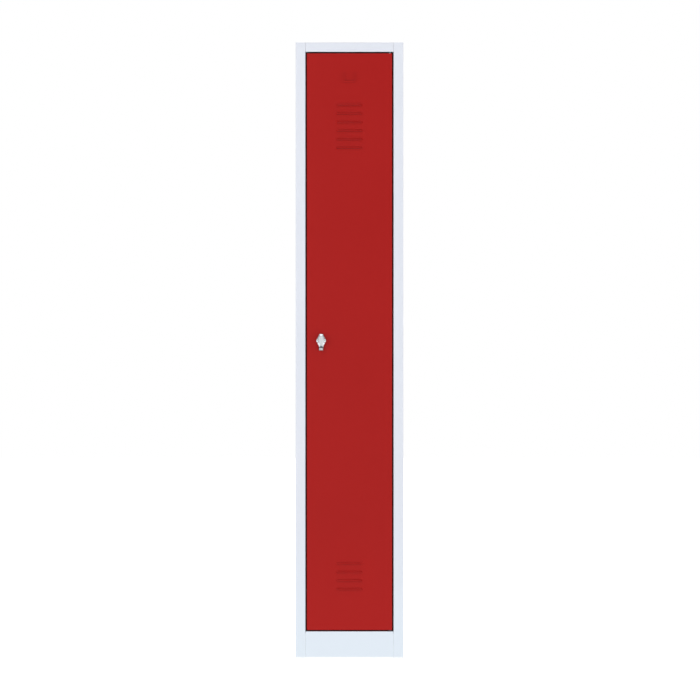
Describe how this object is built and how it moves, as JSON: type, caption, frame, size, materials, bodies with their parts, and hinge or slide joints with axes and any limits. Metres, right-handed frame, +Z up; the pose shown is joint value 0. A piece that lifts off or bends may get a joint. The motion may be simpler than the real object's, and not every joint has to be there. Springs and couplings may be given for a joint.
{
  "type": "locker",
  "caption": "Tall narrow sheet steel clothes locker on a plinth, with a louvred hinged door, a turning latch for a padlock, a hat shelf and a coat rail with sliding hooks.",
  "frame": {"origin": "on the floor, in the middle of the overall footprint at rest, with the latch counted in", "axes": "+Z up, front with the door towards -Y, +X to the right seen from the front"},
  "size_m": [0.315, 0.526, 1.8],
  "materials": {
    "carcass_enamel": "light grey powder coat, satin",
    "door_enamel": "signal red powder coat, satin",
    "bright_chrome": "bright chromed zinc casting",
    "zinc_plate": "zinc plated steel",
    "dark_nylon": "dark grey moulded nylon",
    "black_rubber": "black moulded rubber"
  },
  "bodies": {
    "carcass": {"left_side_panel": "carcass_enamel", "right_side_panel": "carcass_enamel", "top_panel": "carcass_enamel", "plinth": "carcass_enamel", "floor_panel": "carcass_enamel", "back_panel": "carcass_enamel", "hat_shelf": "carcass_enamel", "rail_bracket_left": "carcass_enamel", "rail_bracket_right": "carcass_enamel", "coat_rail": "zinc_plate", "upper_hinge_bush": "dark_nylon", "lower_hinge_bush": "dark_nylon", "door_buffers": "black_rubber"},
    "door": {"door_panel": "door_enamel", "door_stiffener": "door_enamel", "upper_hinge_pin": "zinc_plate", "lower_hinge_pin": "zinc_plate", "lock_base": "bright_chrome", "lock_nut": "zinc_plate"},
    "latch": {"lock_knob": "bright_chrome", "lock_cam": "zinc_plate", "cam_washer": "zinc_plate", "cam_screw": "zinc_plate"},
    "left_hook": {"coat_hook_left": "dark_nylon"},
    "middle_hook": {"coat_hook_middle": "dark_nylon"},
    "right_hook": {"coat_hook_right": "dark_nylon"}
  },
  "joints": [
    {"name": "door_hinge", "type": "hinge", "parent": "carcass", "child": "door", "pos_m": [0.11875, -0.231, 0.9258], "axis": [0, 0, 1], "range_deg": [0, 110]},
    {"name": "latch_turn", "type": "hinge", "parent": "door", "child": "latch", "pos_m": [-0.08275, -0.237, 0.928], "axis": [0, 1, 0], "range_deg": [0, 90]},
    {"name": "left_hook_slide", "type": "slide", "parent": "carcass", "child": "left_hook", "axis": [1, 0, 0], "range_m": [-0.07, 0.028]},
    {"name": "middle_hook_slide", "type": "slide", "parent": "carcass", "child": "middle_hook", "axis": [1, 0, 0], "range_m": [-0.028, 0.028]},
    {"name": "right_hook_slide", "type": "slide", "parent": "carcass", "child": "right_hook", "axis": [1, 0, 0], "range_m": [-0.028, 0.07]}
  ]
}
